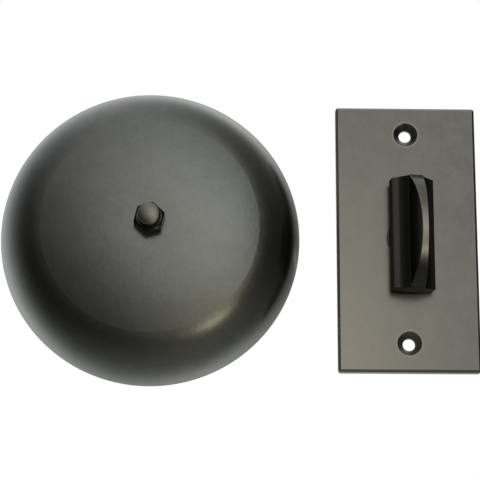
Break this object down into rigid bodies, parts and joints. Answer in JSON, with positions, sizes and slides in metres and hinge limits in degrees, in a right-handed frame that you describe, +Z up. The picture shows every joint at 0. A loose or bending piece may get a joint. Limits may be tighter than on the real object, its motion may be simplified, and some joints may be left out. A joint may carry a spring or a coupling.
{
  "type": "mechanical doorbell",
  "caption": "Twist doorbell: a domed gong over a geared striker, and a plate with a thumb turn whose square spindle drives it through a door.",
  "frame": {"origin": "on the door's surface, on the axis of the gong", "axes": "+Z up the door, -Y out of the door's face towards a person, +X to the right seen from the front"},
  "size_m": [0.1604, 0.1114, 0.1],
  "materials": {
    "bronze_gong": "satin dark bronze",
    "bronze_nut": "satin dark bronze",
    "bronze_plate": "satin dark bronze",
    "bronze_turn": "satin dark bronze",
    "zinc_steel": "zinc-plated stamping",
    "bright_steel": "turned steel",
    "brass": "blanked brass",
    "bronze_bush": "sintered bronze",
    "spring_steel": "oil-blued spring wire",
    "fibre": "red vulcanised fibre"
  },
  "bodies": {
    "fixed_parts": {"base_plate": "zinc_steel", "hub_bush": "bronze_bush", "pillar_1": "bright_steel", "pillar_2": "bright_steel", "pillar_3": "bright_steel", "bridge_plate": "zinc_steel", "bridge_screw_1": "bright_steel", "bridge_screw_2": "bright_steel", "bridge_screw_3": "bright_steel", "gong_post": "bright_steel", "gong_washer": "fibre", "gong": "bronze_gong", "cap_nut": "bronze_nut", "stop_pin": "bright_steel", "spring_post": "bright_steel", "return_spring": "spring_steel", "turn_plate": "bronze_plate"},
    "turn": {"thumb_turn": "bronze_turn", "thrust_washer": "zinc_steel", "retaining_ring": "spring_steel", "spindle": "bright_steel", "cross_pin": "bright_steel"},
    "drive": {"drive_hub": "bright_steel", "main_wheel": "brass", "spring_pin": "bright_steel"},
    "transfer": {"transfer_pinion": "bright_steel", "transfer_wheel": "brass"},
    "striker": {"striker_pinion": "bright_steel", "striker_bar": "zinc_steel", "hammer_pin_1": "bright_steel", "hammer_pin_2": "bright_steel"},
    "left_hammer": {"hammer_1": "brass"},
    "right_hammer": {"hammer_2": "brass"}
  },
  "joints": [
    {"name": "turn_twist", "type": "hinge", "parent": "fixed_parts", "child": "turn", "pos_m": [0.0866, 0, 0.0017], "axis": [0, -1, 0], "range_deg": [-60, 60]},
    {"name": "drive_twist", "type": "hinge", "parent": "fixed_parts", "child": "drive", "pos_m": [0, 0, 0], "axis": [0, -1, 0], "range_deg": [-60, 60], "stiffness_Nm_per_rad": 0.12, "deforming": ["return_spring"]},
    {"name": "transfer_spin", "type": "hinge", "parent": "fixed_parts", "child": "transfer", "pos_m": [-0.01773, 0, 0.01734], "axis": [0, -1, 0], "range_deg": [-250, 250]},
    {"name": "striker_spin", "type": "hinge", "parent": "fixed_parts", "child": "striker", "pos_m": [0, 0, 0.0247], "axis": [0, -1, 0], "range_deg": [-750, 750]},
    {"name": "left_hammer_swing", "type": "hinge", "parent": "striker", "child": "left_hammer", "pos_m": [-0.0147, -0.013, 0.0247], "axis": [0, -1, 0], "continuous": true},
    {"name": "right_hammer_swing", "type": "hinge", "parent": "striker", "child": "right_hammer", "pos_m": [0.0147, -0.013, 0.0247], "axis": [0, -1, 0], "continuous": true}
  ],
  "couplings": [
    {"joint": "drive_twist", "follows": "turn_twist", "ratio": -1},
    {"joint": "transfer_spin", "follows": "turn_twist", "ratio": 4.1667},
    {"joint": "striker_spin", "follows": "turn_twist", "ratio": -12.5}
  ]
}
